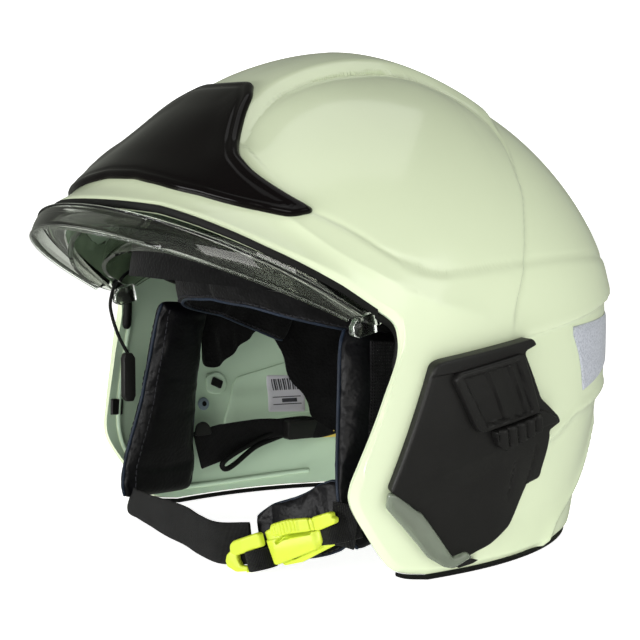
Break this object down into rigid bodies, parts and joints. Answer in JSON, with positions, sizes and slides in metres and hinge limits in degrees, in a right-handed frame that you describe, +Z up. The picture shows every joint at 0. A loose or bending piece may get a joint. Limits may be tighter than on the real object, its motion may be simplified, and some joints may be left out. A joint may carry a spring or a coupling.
{
  "type": "firefighter helmet",
  "caption": "Open-face firefighter helmet with a hinged face shield, an inner eye visor, padded fittings and a chin strap with a quick-release buckle.",
  "frame": {"origin": "middle of the footprint, in the plane that the bottom edge rests on", "axes": "+Z up through the crown, the face looks along -Y, the wearer's left is +X"},
  "size_m": [0.2666, 0.3056, 0.2405],
  "materials": {
    "shell": "gloss",
    "rubber": "satin",
    "gloss_black": "gloss",
    "black_plastic": "satin",
    "lamp_clear": "gloss",
    "reflective": "satin",
    "liner_fabric": "matte",
    "leather": "satin",
    "clear": "gloss",
    "webbing": "matte",
    "buckle": "satin",
    "amber": "satin",
    "label": "matte"
  },
  "bodies": {
    "helmet": {"outer_shell": "shell", "bottom_trim": "rubber", "brim_seal": "rubber", "front_plate": "gloss_black", "side_cover_left": "black_plastic", "side_cover_right": "black_plastic", "lamp_module_left": "black_plastic", "lamp_module_right": "black_plastic", "lamp_lens_left": "lamp_clear", "lamp_lens_right": "lamp_clear", "adapter_plate_left": "black_plastic", "adapter_plate_right": "black_plastic", "adapter_latch_left": "black_plastic", "adapter_latch_right": "black_plastic", "reflective_strip_left": "reflective", "reflective_strip_right": "reflective", "impact_liner": "liner_fabric", "comfort_cap": "liner_fabric", "headband": "leather", "brow_pad": "leather", "nape_pad": "leather", "ratchet_housing": "black_plastic", "visor_pivot_left": "black_plastic", "visor_pivot_right": "black_plastic", "cheek_pad_left": "leather", "cheek_pad_right": "leather", "cheek_mesh_left": "webbing", "cheek_mesh_right": "webbing", "chin_strap_left": "webbing", "chin_strap_right": "webbing", "chin_pad": "leather", "buckle_body": "buckle", "buckle_frame": "buckle", "nape_strap_left": "webbing", "nape_strap_right": "webbing", "strap_clip_left": "amber", "strap_clip_right": "amber", "strap_tail": "webbing", "switch_box": "black_plastic", "lamp_cable": "rubber", "size_label": "label"},
    "face_shield": {"face_shield": "clear", "shield_lip": "clear"},
    "ocular_visor": {"ocular_visor": "clear", "ocular_tab_left": "clear", "ocular_tab_right": "clear"},
    "ratchet_knob": {"ratchet_knob": "black_plastic"},
    "buckle_lever": {"buckle_lever": "buckle"}
  },
  "joints": [
    {"name": "face_shield_hinge", "type": "hinge", "parent": "helmet", "child": "face_shield", "pos_m": [0, -0.005, 0.125], "axis": [1, 0, 0], "range_deg": [0, 45]},
    {"name": "ocular_visor_hinge", "type": "hinge", "parent": "helmet", "child": "ocular_visor", "pos_m": [0, -0.005, 0.125], "axis": [1, 0, 0], "range_deg": [0, 36]},
    {"name": "ratchet_knob_spin", "type": "hinge", "parent": "helmet", "child": "ratchet_knob", "pos_m": [0, 0.122, 0.062], "axis": [0, 1, 0], "continuous": true},
    {"name": "buckle_lever_hinge", "type": "hinge", "parent": "helmet", "child": "buckle_lever", "pos_m": [0.08238, -0.07156, 0.02778], "axis": [-0.2776, -0.0894, 0.9565], "range_deg": [0, 30], "stiffness_Nm_per_rad": 0.02}
  ]
}
